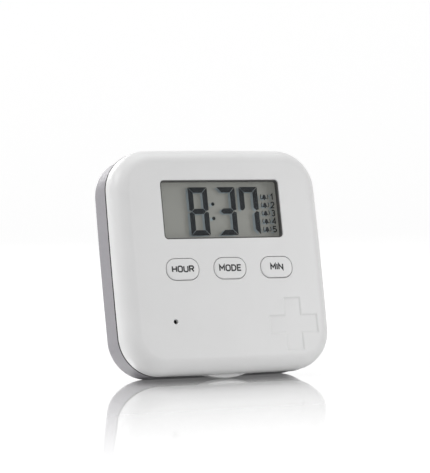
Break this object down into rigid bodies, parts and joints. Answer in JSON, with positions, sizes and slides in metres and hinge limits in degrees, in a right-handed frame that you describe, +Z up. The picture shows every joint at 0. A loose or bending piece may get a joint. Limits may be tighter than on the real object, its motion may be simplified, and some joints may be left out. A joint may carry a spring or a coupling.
{
  "type": "pill reminder timer",
  "caption": "Square clamshell pill box with a digital clock in its lid, oval push buttons and pill compartments behind, standing leaned back on its lower edge.",
  "frame": {"origin": "centre of the bounding box's base, on the surface the object stands on", "axes": "+Z up, +X to the viewer's right, the face towards -Y and leaned back 12.5 degrees"},
  "size_m": [0.0882, 0.0418, 0.0887],
  "materials": {
    "lid_white": "fine satin moulded plastic",
    "key_white": "fine satin moulded plastic",
    "case_grey": "fine matt moulded plastic",
    "frosted_plastic": "translucent moulded plastic",
    "lens_clear": "clear polished window",
    "display_glass": "liquid crystal display glass",
    "reflector_foil": "matt silver reflector",
    "gasket_black": "matt",
    "part_black": "matt",
    "resin_black": "glossy resin",
    "contact_rubber": "matt",
    "board_green": "solder mask",
    "steel": "plated",
    "nickel": "nickel plated",
    "cell_sleeve": "plain coloured sleeve",
    "lead_red": "insulated lead",
    "lead_black": "insulated lead"
  },
  "bodies": {
    "case": {"rear_case": "case_grey", "pill_insert": "frosted_plastic", "hinge_pin": "steel"},
    "lid": {"lid_shell": "lid_white", "lid_seal": "gasket_black", "window_gasket": "gasket_black", "window_lens": "lens_clear", "lcd_glass": "display_glass", "lcd_reflector": "reflector_foil", "lcd_frame": "frosted_plastic", "zebra_strip_upper": "contact_rubber", "zebra_strip_lower": "contact_rubber", "circuit_board": "board_green", "chip_resin": "resin_black", "crystal_can": "steel", "buzzer": "part_black", "switch_body_hour": "part_black", "switch_body_mode": "part_black", "switch_body_min": "part_black", "board_screw_1": "steel", "board_screw_2": "steel", "board_screw_3": "steel", "board_screw_4": "steel", "cell_tray": "part_black", "cell_upper": "cell_sleeve", "cell_lower": "cell_sleeve", "contact_bridge": "nickel", "contact_positive": "nickel", "contact_negative": "nickel", "cell_spring_upper": "nickel", "cell_spring_lower": "nickel", "lead_positive": "lead_red", "lead_negative": "lead_black", "inner_cover": "lid_white", "cover_screw_1": "steel", "cover_screw_2": "steel", "cover_screw_3": "steel", "cover_screw_4": "steel"},
    "hour_button": {"keycap_hour": "key_white", "switch_stem_hour": "part_black"},
    "mode_button": {"keycap_mode": "key_white", "switch_stem_mode": "part_black"},
    "min_button": {"keycap_min": "key_white", "switch_stem_min": "part_black"},
    "battery_cover": {"battery_door": "lid_white"}
  },
  "joints": [
    {"name": "lid_hinge", "type": "hinge", "parent": "case", "child": "lid", "pos_m": [0, 0.0091, 0.08597], "axis": [-1, 0, 0], "range_deg": [0, 120]},
    {"name": "hour_press", "type": "slide", "parent": "lid", "child": "hour_button", "axis": [0, 0.9763, -0.2164], "range_m": [0, 0.0004], "stiffness_N_per_m": 600, "springref_m": -0.00005},
    {"name": "mode_press", "type": "slide", "parent": "lid", "child": "mode_button", "axis": [0, 0.9763, -0.2164], "range_m": [0, 0.0004], "stiffness_N_per_m": 600, "springref_m": -0.00005},
    {"name": "min_press", "type": "slide", "parent": "lid", "child": "min_button", "axis": [0, 0.9763, -0.2164], "range_m": [0, 0.0004], "stiffness_N_per_m": 600, "springref_m": -0.00005},
    {"name": "battery_door_slide", "type": "slide", "parent": "lid", "child": "battery_cover", "axis": [-1, 0, 0], "range_m": [0, 0.003]}
  ]
}
